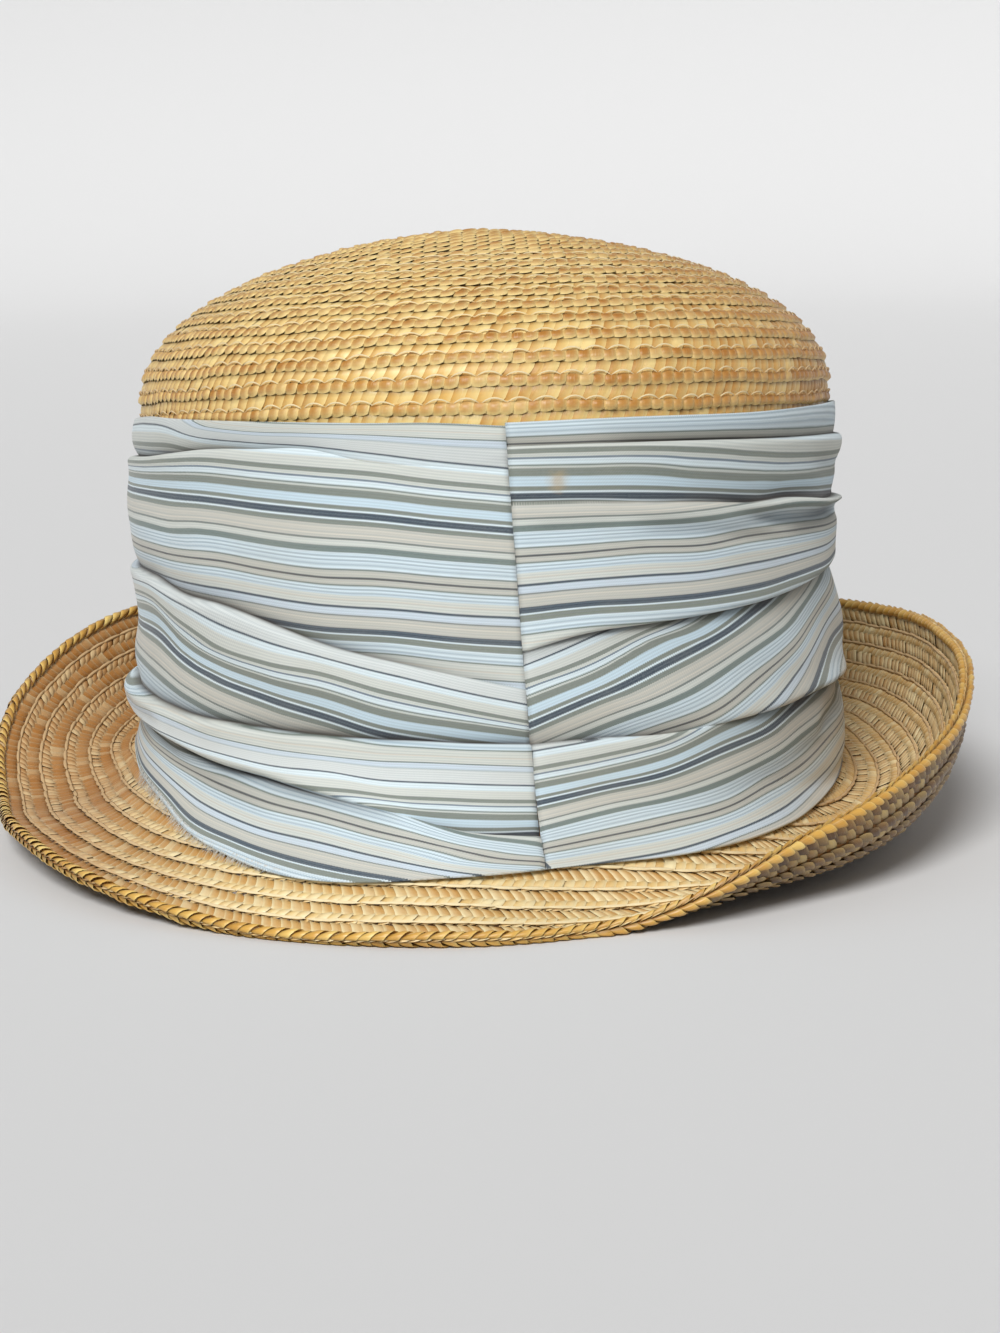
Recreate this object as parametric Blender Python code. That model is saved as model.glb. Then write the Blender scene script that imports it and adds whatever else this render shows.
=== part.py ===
# Straw cloche hat with a striped cloth band, in metres, +Z up, front towards -Y.
import math

import bmesh
import bpy
from mathutils import Vector
from mathutils.geometry import intersect_point_tri_2d

# Crown: outside width, length and heights, over the level of the band's lower edge
crown_width = 0.170
crown_length = 0.204
wall_height = 0.094
dome_rise = 0.040
tip_offset = 0.0015
straw_wall = 0.002

# Braid rows, sewn one over the next
row_pitch = 0.0054
row_step = 0.0007
brim_rows = 9

# Band of gathered cloth around the crown
band_top = 0.0885
band_wall = 0.0022
fold_depth = 0.0026

# Spaces and the worn flat where the straw meets the floor
clearance = 0.0003
foot_flat = 0.0005

# Facets around the hat
facets = 48
inner_dome_rings = 9
band_rings = 16
band_lining_rings = 6

# Crown wall: height as a share of wall_height, and spread as a share of crown_width
wall_shape = (
    # height, spread
    (0.00, -0.004),
    (0.20, -0.005),
    (0.45, -0.013),
    (0.75, -0.008),
    (0.95, -0.001),
    (1.00, 0.000),
)

# Brim around the hat, azimuth 0 at the front and 90 at +X.
# Seat is a share of wall_height, slopes are in degrees at the seat, halfway and at
# the rim, and covered is the share of the brim's width that the band lies on.
brim_shape = (
    # azimuth, seat, inner, middle, outer, covered
    (-150, 0.12, -45, 60, 85, 0.10),
    (-125, 0.16, -58, 55, 72, 0.16),
    (-105, 0.21, -76, 15, 42, 0.24),
    (-85, 0.24, -84, -28, 16, 0.32),
    (-65, 0.23, -86, -30, 2, 0.42),
    (-45, 0.19, -86, -34, -12, 0.50),
    (-25, 0.18, -86, -42, -38, 0.62),
    (-5, 0.19, -86, -52, -25, 0.59),
    (15, 0.18, -86, -66, 16, 0.52),
    (35, 0.11, -84, -34, 90, 0.40),
    (50, 0.03, -76, 4, 98, 0.26),
    (65, 0.00, -62, 30, 86, 0.14),
    (80, 0.01, -46, 48, 74, 0.08),
    (95, 0.05, -42, 48, 82, 0.08),
    (115, 0.12, -38, 38, 86, 0.10),
    (140, 0.12, -40, 45, 88, 0.10),
    (180, 0.09, -40, 50, 88, 0.10),
)

# Folds of the band: each runs from one azimuth and height to another. Heights and
# half widths are shares of the band's height, and depth is a share of fold_depth.
band_folds = (
    # from azimuth, height, to azimuth, height, half width, depth
    (-125, 0.72, -10, 0.74, 0.13, 0.9),
    (-110, 0.30, 0, 0.40, 0.09, 0.8),
    (-100, 0.08, -20, 0.16, 0.07, 0.7),
    (10, 0.80, 110, 0.74, 0.04, 0.9),
    (10, 0.62, 100, 0.60, 0.10, 0.4),
    (5, 0.22, 120, 0.36, 0.08, 1.2),
    (15, 0.06, 95, 0.20, 0.05, 0.5),
    (100, 0.86, 235, 0.64, 0.06, 0.8),
    (110, 0.55, 240, 0.48, 0.08, 0.9),
    (105, 0.14, 250, 0.24, 0.07, 0.8),
)

half_width = crown_width / 2
half_length = crown_length / 2
brim_width = row_pitch * brim_rows
azimuths = [360 * index / facets - 180 for index in range(facets)]


def clear_scene():
    for item in list(bpy.data.objects):
        bpy.data.objects.remove(item, do_unlink=True)


def around_table(table, azimuth, column):
    """Smooth value of one column of a table whose rows go round the hat."""
    count = len(table)
    start = table[0][0]
    angle = (azimuth - start) % 360 + start
    place = max(index for index in range(count) if table[index][0] <= angle)

    def knot(index):
        turns, row = divmod(index, count)
        return table[row][0] + 360 * turns, table[row][column]

    (x0, y0), (x1, y1), (x2, y2), (x3, y3) = (knot(place + shift) for shift in (-1, 0, 1, 2))
    span = x2 - x1
    t = (angle - x1) / span
    m1 = (y2 - y0) / (x2 - x0) * span
    m2 = (y3 - y1) / (x3 - x1) * span
    return ((2 * t**3 - 3 * t**2 + 1) * y1 + (t**3 - 2 * t**2 + t) * m1
            + (3 * t**2 - 2 * t**3) * y2 + (t**3 - t**2) * m2)


def smooth_step(value):
    value = min(max(value, 0.0), 1.0)
    return value * value * (3 - 2 * value)


def oval_point(azimuth, spread, height):
    """Point of the crown's oval moved out by spread along the oval's normal."""
    angle = math.radians(azimuth)
    normal = Vector((math.sin(angle) / half_width, -math.cos(angle) / half_length)).normalized()
    return Vector((
        half_width * math.sin(angle) + normal.x * spread,
        -half_length * math.cos(angle) + normal.y * spread,
        height,
    ))


def wall_spread(height):
    """How far the crown's wall stands from the oval at a height."""
    share = min(max(height / wall_height, 0.0), 1.0)
    for (low, first), (high, second) in zip(wall_shape, wall_shape[1:]):
        if share <= high:
            blend = smooth_step((share - low) / (high - low))
            return (first + (second - first) * blend) * crown_width
    return 0.0


def seat_height(azimuth):
    return around_table(brim_shape, azimuth, 1) * wall_height


def brim_section(azimuth, steps=60):
    """The brim's upper line at an azimuth: spread, height and slope at even steps."""
    inner, middle, outer = (around_table(brim_shape, azimuth, column) for column in (2, 3, 4))
    seat = seat_height(azimuth)
    spread, height = wall_spread(seat), seat
    section = [(spread, height, math.radians(inner))]
    for index in range(steps):
        share = (index + 0.5) / steps
        slope = math.radians(
            inner * (1 - share) * (1 - 2 * share)
            + 4 * middle * share * (1 - share)
            + outer * share * (2 * share - 1)
        )
        spread += math.cos(slope) * brim_width / steps
        height += math.sin(slope) * brim_width / steps
        section.append((spread, height, slope))
    return section


def section_point(section, share, lift):
    """Spread and height on a section at a share of its width, lifted off it."""
    place = min(max(share, 0.0), 1.0) * (len(section) - 1)
    index = min(int(place), len(section) - 2)
    blend = place - index
    spread, height, slope = (
        first + (second - first) * blend
        for first, second in zip(section[index], section[index + 1])
    )
    return spread - math.sin(slope) * lift, height + math.cos(slope) * lift


def ring_edges(mesh, ring):
    return [mesh.edges.get(pair) for pair in zip(ring, ring[1:] + ring[:1])]


def first_ring(mesh, points):
    ring = [mesh.verts.new(point) for point in points]
    for pair in zip(ring, ring[1:] + ring[:1]):
        mesh.edges.new(pair)
    return ring


def extrude_ring(mesh, ring, points):
    """Extrude a ring of edges and move its new corners to the given points."""
    grown = bmesh.ops.extrude_edge_only(mesh, edges=ring_edges(mesh, ring))["geom"]
    fresh = {item for item in grown if isinstance(item, bmesh.types.BMVert)}
    following = []
    for corner in ring:
        twins = (edge.other_vert(corner) for edge in corner.link_edges)
        following.append(next(twin for twin in twins if twin in fresh))
    for corner, point in zip(following, points):
        corner.co = point
    return following


def cap_ring(mesh, ring, point):
    """Close a ring with a fan that meets at one point."""
    face = mesh.faces.new(ring)
    centre = bmesh.ops.poke(mesh, faces=[face])["verts"][0]
    centre.co = point


def make_object(name, mesh, colour, roughness, stand):
    bmesh.ops.recalc_face_normals(mesh, faces=mesh.faces)
    data = bpy.data.meshes.new(name)
    mesh.to_mesh(data)
    mesh.free()
    data.shade_smooth()
    data.set_sharp_from_angle(angle=math.radians(50))
    material = bpy.data.materials.new(name)
    material.use_nodes = True
    surface = material.node_tree.nodes["Principled BSDF"]
    surface.inputs["Base Color"].default_value = (*colour, 1)
    surface.inputs["Roughness"].default_value = roughness
    surface.inputs["Metallic"].default_value = 0
    data.materials.append(material)
    item = bpy.data.objects.new(name, data)
    bpy.context.collection.objects.link(item)
    item.parent = stand
    return item


def dome_angles(rises):
    """Angles that cut the dome's side into equal lengths, from shoulder to tip."""
    radius = (half_width + half_length) / 2
    fine = 400
    lengths = [0.0]
    for index in range(fine):
        angle = math.pi / 2 * (index + 0.5) / fine
        step = math.hypot(radius * math.sin(angle), dome_rise * math.cos(angle))
        lengths.append(lengths[-1] + step * math.pi / 2 / fine)
    angles = []
    for index in range(rises + 1):
        target = lengths[-1] * index / rises
        place = max(item for item in range(fine + 1) if lengths[item] <= target + 1e-12)
        angles.append(math.pi / 2 * place / fine)
    return angles, lengths[-1]


def dome_point(azimuth, angle, lift):
    """Point on the dome, lifted off it or sunk below it."""
    direction = math.radians(azimuth)
    level = math.cos(angle)
    height = math.sin(angle)
    return Vector((
        (half_width + lift) * math.sin(direction) * level - tip_offset * height**2,
        -(half_length + lift) * math.cos(direction) * level,
        wall_height + (dome_rise + lift) * height,
    ))


def wall_ring(share, lift):
    """Ring on the crown's wall, share 0 at the brim's seat and 1 at the shoulder."""
    points = []
    for azimuth in azimuths:
        low = seat_height(azimuth) + clearance
        height = low + (wall_height - low) * share
        points.append(oval_point(azimuth, wall_spread(height) + lift, height))
    return points


def make_crown(stand):
    mesh = bmesh.new()
    rows = round(dome_angles(1)[1] / row_pitch)
    angles = dome_angles(rows)[0]
    tip_gap = 0.35

    # The outer side comes down row by row, each row's lower edge standing proud
    near_tip = angles[-2] + (angles[-1] - angles[-2]) * (1 - tip_gap)
    ring = first_ring(mesh, [dome_point(azimuth, near_tip, 0) for azimuth in azimuths])
    cap_ring(mesh, ring, dome_point(0, math.pi / 2, 0))
    for index in range(rows - 1, 0, -1):
        ring = extrude_ring(
            mesh, ring, [dome_point(azimuth, angles[index], row_step) for azimuth in azimuths])
        ring = extrude_ring(
            mesh, ring, [dome_point(azimuth, angles[index], 0) for azimuth in azimuths])
    for share in (1.0, 0.80, 0.60, 0.40, 0.20, 0.0):
        ring = extrude_ring(mesh, ring, wall_ring(share, 0))

    # The inner side goes back up, one wall thickness in
    for share in (0.0, 0.35, 0.70, 1.0):
        ring = extrude_ring(mesh, ring, wall_ring(share, -straw_wall))
    for angle in dome_angles(inner_dome_rings)[0][1:-1]:
        ring = extrude_ring(
            mesh, ring, [dome_point(azimuth, angle, -straw_wall) for azimuth in azimuths])
    cap_ring(mesh, ring, dome_point(0, math.pi / 2, -straw_wall))
    return make_object("crown", mesh, (0.70, 0.44, 0.15), 0.55, stand)


def brim_ring(share, lift):
    points = []
    for azimuth in azimuths:
        spread, height = section_point(brim_sections[azimuth], share, lift)
        points.append(oval_point(azimuth, spread, height))
    return points


def seat_ring(lift):
    """Ring on the flat edge that meets the crown's lower edge."""
    points = []
    for azimuth in azimuths:
        seat = seat_height(azimuth)
        points.append(oval_point(azimuth, wall_spread(seat) + lift, seat))
    return points


def make_brim(stand):
    mesh = bmesh.new()
    inner = first_ring(mesh, seat_ring(0))
    ring = inner
    for row in range(1, brim_rows + 1):
        share = row / brim_rows
        ring = extrude_ring(mesh, ring, brim_ring(share, row_step))
        if row < brim_rows:
            ring = extrude_ring(mesh, ring, brim_ring(share, 0))
    for row in range(brim_rows, 0, -1):
        ring = extrude_ring(mesh, ring, brim_ring(row / brim_rows, -straw_wall))
    ring = extrude_ring(mesh, ring, seat_ring(-straw_wall))
    bmesh.ops.bridge_loops(mesh, edges=ring_edges(mesh, ring) + ring_edges(mesh, inner))
    return make_object("brim", mesh, (0.66, 0.42, 0.16), 0.6, stand)


def fold_lift(azimuth, height):
    """How far the band's folds stand out at an azimuth and a share of its height."""
    total = 0.0
    for start, low, end, high, half, depth in band_folds:
        along = ((azimuth - start) % 360) / (end - start)
        if along > 1:
            continue
        ends = smooth_step(along * 4) * smooth_step((1 - along) * 4)
        line = low + (high - low) * along
        across = (height - line) / half
        total += depth * ends * math.exp(-across * across)
    return total * fold_depth


def band_point(azimuth, height, lift):
    """Point over the crown's wall and the brim that the band lies on."""
    section = brim_sections[azimuth]
    seat = seat_height(azimuth)
    wall_run = band_top - seat
    brim_run = around_table(brim_shape, azimuth, 5) * brim_width
    run = (1 - height) * (wall_run + brim_run)
    if run <= wall_run:
        level = band_top - run
        return oval_point(azimuth, wall_spread(level) + lift, level)
    spread, level = section_point(section, (run - wall_run) / brim_width, lift)
    return oval_point(azimuth, spread, level)


def make_band(stand):
    mesh = bmesh.new()
    under = clearance + row_step
    over = under + band_wall
    inner = first_ring(mesh, [band_point(azimuth, 0, under) for azimuth in azimuths])
    ring = inner
    for index in range(band_rings):
        height = index / (band_rings - 1)
        ring = extrude_ring(mesh, ring, [
            band_point(azimuth, height, over + fold_lift(azimuth, height)) for azimuth in azimuths])
    for index in range(band_lining_rings, 0, -1):
        height = index / band_lining_rings
        ring = extrude_ring(mesh, ring, [band_point(azimuth, height, under) for azimuth in azimuths])
    bmesh.ops.bridge_loops(mesh, edges=ring_edges(mesh, ring) + ring_edges(mesh, inner))
    return make_object("band", mesh, (0.62, 0.66, 0.64), 0.8, stand)


def corners(items):
    return [corner.co.copy() for item in items for corner in item.data.vertices]


def resting_turn(points):
    """Turn that lays the hat on the three lowest places under its middle."""
    hull = bmesh.new()
    for point in points:
        hull.verts.new(point)
    bmesh.ops.convex_hull(hull, input=hull.verts)
    middle = sum(points, Vector()) / len(points)
    for face in hull.faces:
        corners_below = [corner.co.xy for corner in face.verts]
        if face.normal.z < 0 and intersect_point_tri_2d(middle.xy, *corners_below):
            turn = face.normal.rotation_difference(Vector((0, 0, -1))).to_matrix().to_4x4()
            break
    hull.free()
    return turn


def stand_on_floor(stand, items, brim):
    """Lay the hat down, centre it over the origin and wear flats where it touches."""
    points = corners(items)
    turn = resting_turn(points)
    turned = [turn @ point for point in points]
    low = [min(point[axis] for point in turned) for axis in range(3)]
    high = [max(point[axis] for point in turned) for axis in range(3)]
    place = Vector((
        -(low[0] + high[0]) / 2,
        -(low[1] + high[1]) / 2,
        -low[2] - foot_flat,
    ))
    stand.rotation_euler = turn.to_euler()
    stand.location = place
    back = turn.inverted()
    mesh = bmesh.new()
    mesh.from_mesh(brim.data)
    cut = bmesh.ops.bisect_plane(
        mesh, geom=mesh.verts[:] + mesh.edges[:] + mesh.faces[:], dist=1e-7,
        plane_co=back @ -place, plane_no=back @ Vector((0, 0, 1)), clear_inner=True)
    edges = [item for item in cut["geom_cut"] if isinstance(item, bmesh.types.BMEdge)]
    bmesh.ops.holes_fill(mesh, edges=edges, sides=0)
    bmesh.ops.recalc_face_normals(mesh, faces=mesh.faces)
    mesh.to_mesh(brim.data)
    mesh.free()


clear_scene()
brim_sections = {azimuth: brim_section(azimuth) for azimuth in azimuths}
hat_stand = bpy.data.objects.new("hat_stand", None)
bpy.context.collection.objects.link(hat_stand)
crown = make_crown(hat_stand)
brim = make_brim(hat_stand)
band = make_band(hat_stand)
stand_on_floor(hat_stand, [crown, brim, band], brim)
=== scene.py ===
# Straw cloche hat with a gathered striped band: the finish of every surface, in metres
import math
from functools import partialmethod

import bpy
import numpy as np
from mathutils import Euler, Matrix, Vector


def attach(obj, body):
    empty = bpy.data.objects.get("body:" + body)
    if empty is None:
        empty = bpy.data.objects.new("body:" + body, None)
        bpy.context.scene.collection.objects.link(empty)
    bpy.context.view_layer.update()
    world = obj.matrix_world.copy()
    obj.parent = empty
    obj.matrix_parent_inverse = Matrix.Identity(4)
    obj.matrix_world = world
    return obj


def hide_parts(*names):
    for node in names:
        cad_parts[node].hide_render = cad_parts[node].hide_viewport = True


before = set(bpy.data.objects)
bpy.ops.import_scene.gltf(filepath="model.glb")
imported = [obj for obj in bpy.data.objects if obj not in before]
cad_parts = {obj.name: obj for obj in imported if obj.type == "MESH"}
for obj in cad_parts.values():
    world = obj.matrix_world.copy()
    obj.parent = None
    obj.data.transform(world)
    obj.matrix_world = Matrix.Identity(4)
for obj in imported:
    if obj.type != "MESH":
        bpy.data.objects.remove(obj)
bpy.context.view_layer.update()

# The hat's own sizes, as its solids have them. Turn and place are how it rests on its brim.
hat = {
    "crownWidth": 0.170,
    "crownLength": 0.204,
    "wallHeight": 0.094,
    "domeRise": 0.040,
    "tipOffset": 0.0015,
    "strawWall": 0.002,
    "rowPitch": 0.0054,
    "rowStep": 0.0007,
    "brimRows": 9,
    "bandTop": 0.0885,
    "clearance": 0.0003,
    "turn": (-6.089, -1.051, 0.056),
    "place": (0.004637, -0.002414, 0.00776),
}

# Crown wall: height as a share of wallHeight, and spread as a share of crownWidth
wallShape = (
    (0.00, -0.004), (0.20, -0.005), (0.45, -0.013), (0.75, -0.008), (0.95, -0.001), (1.00, 0.000),
)

# Brim, azimuth 0 at the front and 90 at +X: seat, inner, middle and outer slope, covered share
brimShape = (
    (-150, 0.12, -45, 60, 85, 0.10),
    (-125, 0.16, -58, 55, 72, 0.16),
    (-105, 0.21, -76, 15, 42, 0.24),
    (-85, 0.24, -84, -28, 16, 0.32),
    (-65, 0.23, -86, -30, 2, 0.42),
    (-45, 0.19, -86, -34, -12, 0.50),
    (-25, 0.18, -86, -42, -38, 0.62),
    (-5, 0.19, -86, -52, -25, 0.59),
    (15, 0.18, -86, -66, 16, 0.52),
    (35, 0.11, -84, -34, 90, 0.40),
    (50, 0.03, -76, 4, 98, 0.26),
    (65, 0.00, -62, 30, 86, 0.14),
    (80, 0.01, -46, 48, 74, 0.08),
    (95, 0.05, -42, 48, 82, 0.08),
    (115, 0.12, -38, 38, 86, 0.10),
    (140, 0.12, -40, 45, 88, 0.10),
    (180, 0.09, -40, 50, 88, 0.10),
)

halfWidth = hat["crownWidth"] / 2
halfLength = hat["crownLength"] / 2
brimWidth = hat["rowPitch"] * hat["brimRows"]
standMatrix = Matrix.Translation(hat["place"]) @ Euler(
    [math.radians(angle) for angle in hat["turn"]]).to_matrix().to_4x4()


def smoothStep(value):
    value = np.clip(value, 0, 1)
    return value * value * (3 - 2 * value)


def curveThrough(x, y, places):
    # the smooth curve through four knots, between the second and the third
    (x0, x1, x2, x3), (y0, y1, y2, y3) = x, y
    span = x2 - x1
    t = (places - x1) / span
    first, second = (y2 - y0) / (x2 - x0) * span, (y3 - y1) / (x3 - x1) * span
    return ((2 * t**3 - 3 * t**2 + 1) * y1 + (t**3 - 2 * t**2 + t) * first
            + (3 * t**2 - 2 * t**3) * y2 + (t**3 - t**2) * second)


def aroundTable(table, azimuths, column):
    # smooth value of one column of a table whose rows go round the hat
    rows = np.array(table, float)
    angles = (azimuths - rows[0, 0]) % 360 + rows[0, 0]
    place = np.searchsorted(rows[:, 0], angles, side="right") - 1
    turns, knots = np.divmod([place + shift for shift in (-1, 0, 1, 2)], len(rows))
    return curveThrough(rows[knots, 0] + 360 * turns, rows[knots, column], angles)


def alongTable(table, places, column):
    # the same for a table that runs from the seam round to the seam
    rows = np.array(table, float)
    last = len(rows) - 1
    place = np.clip(np.searchsorted(rows[:, 0], places, side="right") - 1, 0, last - 1)
    knots = np.clip([place + shift for shift in (-1, 0, 1, 2)], 0, last)
    return curveThrough(rows[knots, 0], rows[knots, column], places)


def evened(*values):
    return np.broadcast_arrays(*(np.asarray(value, float) for value in values))


def ovalPoint(azimuths, spread, height):
    # the crown's oval, moved out by spread along its normal
    angle = np.radians(azimuths)
    across, along = np.sin(angle) / halfWidth, -np.cos(angle) / halfLength
    size = np.hypot(across, along)
    return np.stack((
        halfWidth * np.sin(angle) + across / size * spread,
        -halfLength * np.cos(angle) + along / size * spread,
        height + 0 * angle), axis=-1)


def wallSpread(height):
    share = np.clip(height / hat["wallHeight"], 0, 1)
    result = np.zeros_like(share)
    for (low, first), (high, second) in zip(wallShape, wallShape[1:]):
        blend = smoothStep((share - low) / (high - low))
        result = np.where(share >= low, first + (second - first) * blend, result)
    return result * hat["crownWidth"]


# The brim's side dips in beside the lower left of the band
leftTuck = {"azimuth": -78, "half": 30, "reach": 0.85, "depth": 0.0035}


def brimSections(count=720, steps=60):
    # the brim's upper line at even azimuths: spread, height and slope at even steps
    azimuths = np.linspace(0, 360, count + 1)
    inner, middle, outer = (aroundTable(brimShape, azimuths, column) for column in (2, 3, 4))
    seat = aroundTable(brimShape, azimuths, 1) * hat["wallHeight"]
    share = ((np.arange(steps) + 0.5) / steps)[None, :]
    slope = np.radians(inner[:, None] * (1 - share) * (1 - 2 * share)
                       + 4 * middle[:, None] * share * (1 - share)
                       + outer[:, None] * share * (2 * share - 1))
    step = brimWidth / steps
    spread = wallSpread(seat)[:, None] + np.cumsum(np.cos(slope) * step, axis=1)
    height = seat[:, None] + np.cumsum(np.sin(slope) * step, axis=1)
    around = np.exp(-(((azimuths - leftTuck["azimuth"] + 180) % 360 - 180) / leftTuck["half"])**2)
    down = np.sin(math.pi * np.clip(share / leftTuck["reach"], 0, 1))**1.5
    spread = spread - leftTuck["depth"] * around[:, None] * down
    return (np.concatenate((wallSpread(seat)[:, None], spread), axis=1),
            np.concatenate((seat[:, None], height), axis=1),
            np.concatenate((np.radians(inner)[:, None], slope), axis=1))


brimGrid = brimSections()


def brimSpot(azimuths, rows, lift):
    # a point on the brim, rows counted from the seat to the rim
    azimuths, rows, lift = evened(azimuths, rows, lift)
    count, steps = brimGrid[0].shape[0] - 1, brimGrid[0].shape[1] - 1
    turn = (azimuths % 360) / 360 * count
    across = np.clip(rows / hat["brimRows"], 0, 1) * steps
    i = np.minimum(turn.astype(int), count - 1)
    j = np.minimum(across.astype(int), steps - 1)
    a, b = turn - i, across - j
    spread, height, slope = (
        (grid[i, j] * (1 - a) + grid[i + 1, j] * a) * (1 - b)
        + (grid[i, j + 1] * (1 - a) + grid[i + 1, j + 1] * a) * b for grid in brimGrid)
    beyond = (np.maximum(rows - hat["brimRows"], 0) + np.minimum(rows, 0)) * hat["rowPitch"]
    spread = spread + np.cos(slope) * beyond - np.sin(slope) * lift
    height = height + np.sin(slope) * beyond + np.cos(slope) * lift
    return ovalPoint(azimuths, spread, height)


def domeTable(fine=400):
    # share of the dome's side, shoulder to tip, against the angle there
    radius = (halfWidth + halfLength) / 2
    angles = math.pi / 2 * (np.arange(fine) + 0.5) / fine
    steps = np.hypot(radius * np.sin(angles), hat["domeRise"] * np.cos(angles)) * math.pi / 2 / fine
    lengths = np.concatenate(((0.0,), np.cumsum(steps)))
    return lengths / lengths[-1], np.linspace(0, math.pi / 2, fine + 1), lengths[-1]


domeShares, domeAngles, domeLength = domeTable()
domeRows = round(domeLength / hat["rowPitch"])


# The worn crown: its left shoulder leans in, and its dome is a little flatter, in metres
crownSettle = {
    "lean": 0.0022, "leanFrom": 0.055, "leanOver": 0.04, "flatten": 0.0018, "flattenOver": 0.006,
}


def settled(points):
    x, y, z = points[..., 0], points[..., 1], points[..., 2]
    shoulder = smoothStep((z - crownSettle["leanFrom"]) / crownSettle["leanOver"])
    dome = smoothStep((z - hat["wallHeight"]) / crownSettle["flattenOver"])
    reach = np.clip(np.hypot(x / halfWidth, y / halfLength), 0, 1)
    inward = crownSettle["lean"] * smoothStep(-x / halfWidth) * shoulder
    down = crownSettle["flatten"] * (4 * reach * (1 - reach))**0.8 * dome
    return np.stack((x + inward, y, z - down), axis=-1)


def crownSpot(azimuths, rows, lift):
    # a point on the crown, rows counted from the tip down
    azimuths, rows, lift = evened(azimuths, rows, lift)
    angle = np.interp(1 - rows / domeRows, domeShares, domeAngles)
    direction, level, height = np.radians(azimuths), np.cos(angle), np.sin(angle)
    dome = np.stack((
        (halfWidth + lift) * np.sin(direction) * level - hat["tipOffset"] * height**2,
        -(halfLength + lift) * np.cos(direction) * level,
        hat["wallHeight"] + (hat["domeRise"] + lift) * height), axis=-1)
    down = hat["wallHeight"] - np.maximum(rows - domeRows, 0) * hat["rowPitch"]
    wall = ovalPoint(azimuths, wallSpread(down) + lift, down)
    return settled(np.where((rows > domeRows)[..., None], wall, dome))


# Over how much of its way down the cloth turns from the wall onto the brim, in metres
bandBend = 0.008


def bandRun(azimuths):
    # the cloth's way down the wall, and out over the brim
    wall = hat["bandTop"] - aroundTable(brimShape, azimuths, 1) * hat["wallHeight"]
    return wall, aroundTable(brimShape, azimuths, 5) * brimWidth


def bandSpot(azimuths, heights, lift):
    # a point over the crown's wall and the brim, height 1 at the band's top edge
    wallRun, brimRun = bandRun(azimuths)
    run = (1 - heights) * (wallRun + brimRun)
    level = hat["bandTop"] - run
    wall = ovalPoint(azimuths, wallSpread(level) + lift, level)
    brim = brimSpot(azimuths, (run - wallRun) / hat["rowPitch"], lift)
    blend = smoothStep(0.5 + (run - wallRun) / bandBend)[..., None]
    return settled(wall + (brim - wall) * blend)


def toWorld(points):
    turn = np.array(standMatrix.to_3x3())
    return points @ turn.T + np.array(standMatrix.translation)


# Shader maths: an expression on sockets adds its nodes
class Value:
    def __init__(self, tree, socket):
        self.tree, self.socket = tree, socket

    def maths(self, operation, *others, before=()):
        node = self.tree.nodes.new("ShaderNodeMath")
        node.operation = operation
        for socket, item in zip(node.inputs, (*before, self, *others)):
            plug(self.tree, socket, item)
        return Value(self.tree, node.outputs[0])

    def __rsub__(self, other):
        return self.maths("SUBTRACT", before=(other,))

    __add__ = __radd__ = partialmethod(maths, "ADD")
    __sub__ = partialmethod(maths, "SUBTRACT")
    __mul__ = partialmethod(maths, "MULTIPLY")
    __truediv__ = partialmethod(maths, "DIVIDE")
    __gt__ = partialmethod(maths, "GREATER_THAN")

    def part(self):
        return self.maths("FRACT")

    def held(self):
        return self.maths("MAXIMUM", 0.0).maths("MINIMUM", 1.0)

    def ramp(self, low, high):
        return ((self - low) / (high - low)).held()


def plug(tree, socket, item):
    if isinstance(item, Value):
        tree.links.new(item.socket, socket)
    elif item is not None:
        socket.default_value = paint(item) if isinstance(item, str) else item


class Finish:
    def __init__(self, name):
        self.material = bpy.data.materials.new(name)
        self.material.use_nodes = True
        self.tree = self.material.node_tree
        self.surface = self.tree.nodes["Principled BSDF"]

    def node(self, kind, settings=None, inputs=None, output=0):
        # any node: its settings are set first, then the values or links of its sockets
        made = self.tree.nodes.new(kind)
        for key, value in (settings or {}).items():
            setattr(made, key, value)
        for key, item in (inputs or {}).items():
            plug(self.tree, made.inputs[key], item)
        return Value(self.tree, made.outputs[output])

    def attribute(self, name):
        return self.node("ShaderNodeAttribute", {"attribute_name": name}, output="Fac")

    def mix(self, share, first, second):
        made = self.tree.nodes.new("ShaderNodeMix")
        made.data_type = "RGBA"
        for index, item in ((0, share), (6, first), (7, second)):
            plug(self.tree, made.inputs[index], item)
        return Value(self.tree, made.outputs[2])

    def layered(self, colour, *coats):
        # each coat covers the colours under it by its share
        for share, coat in coats:
            colour = self.mix(share, colour, coat)
        return colour

    def noise(self, where, scale, detail=2.0):
        return self.node("ShaderNodeTexNoise", None, {
            "Vector": where, "Scale": scale, "Detail": detail})

    def place(self, scale=(1, 1, 1)):
        where = self.node("ShaderNodeTexCoord", output="Object")
        return self.node("ShaderNodeMapping", None, {"Vector": where, "Scale": scale})

    def axes(self, where):
        made = self.tree.nodes.new("ShaderNodeSeparateXYZ")
        plug(self.tree, made.inputs[0], where)
        return [Value(self.tree, socket) for socket in made.outputs]

    def joined(self, x, y, z=0.0):
        return self.node("ShaderNodeCombineXYZ", None, {"X": x, "Y": y, "Z": z})

    def bump(self, height, strength, distance):
        return self.node("ShaderNodeBump", None, {
            "Height": height, "Strength": strength, "Distance": distance})

    def set(self, **inputs):
        names = {"colour": "Base Color", "roughness": "Roughness", "normal": "Normal",
                 "sheen": "Sheen Weight", "sheenRoughness": "Sheen Roughness",
                 "specular": "Specular IOR Level"}
        for key, item in inputs.items():
            plug(self.tree, self.surface.inputs[names[key]], item)
        return self.material


def paint(code):
    # a colour as it is seen, in six hexadecimal digits, as the shader takes it
    parts = [int(code[i:i + 2], 16) / 255 for i in (0, 2, 4)]
    return (*[(p / 12.92 if p <= 0.04045 else ((p + 0.055) / 1.055)**2.4) for p in parts], 1.0)


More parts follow.
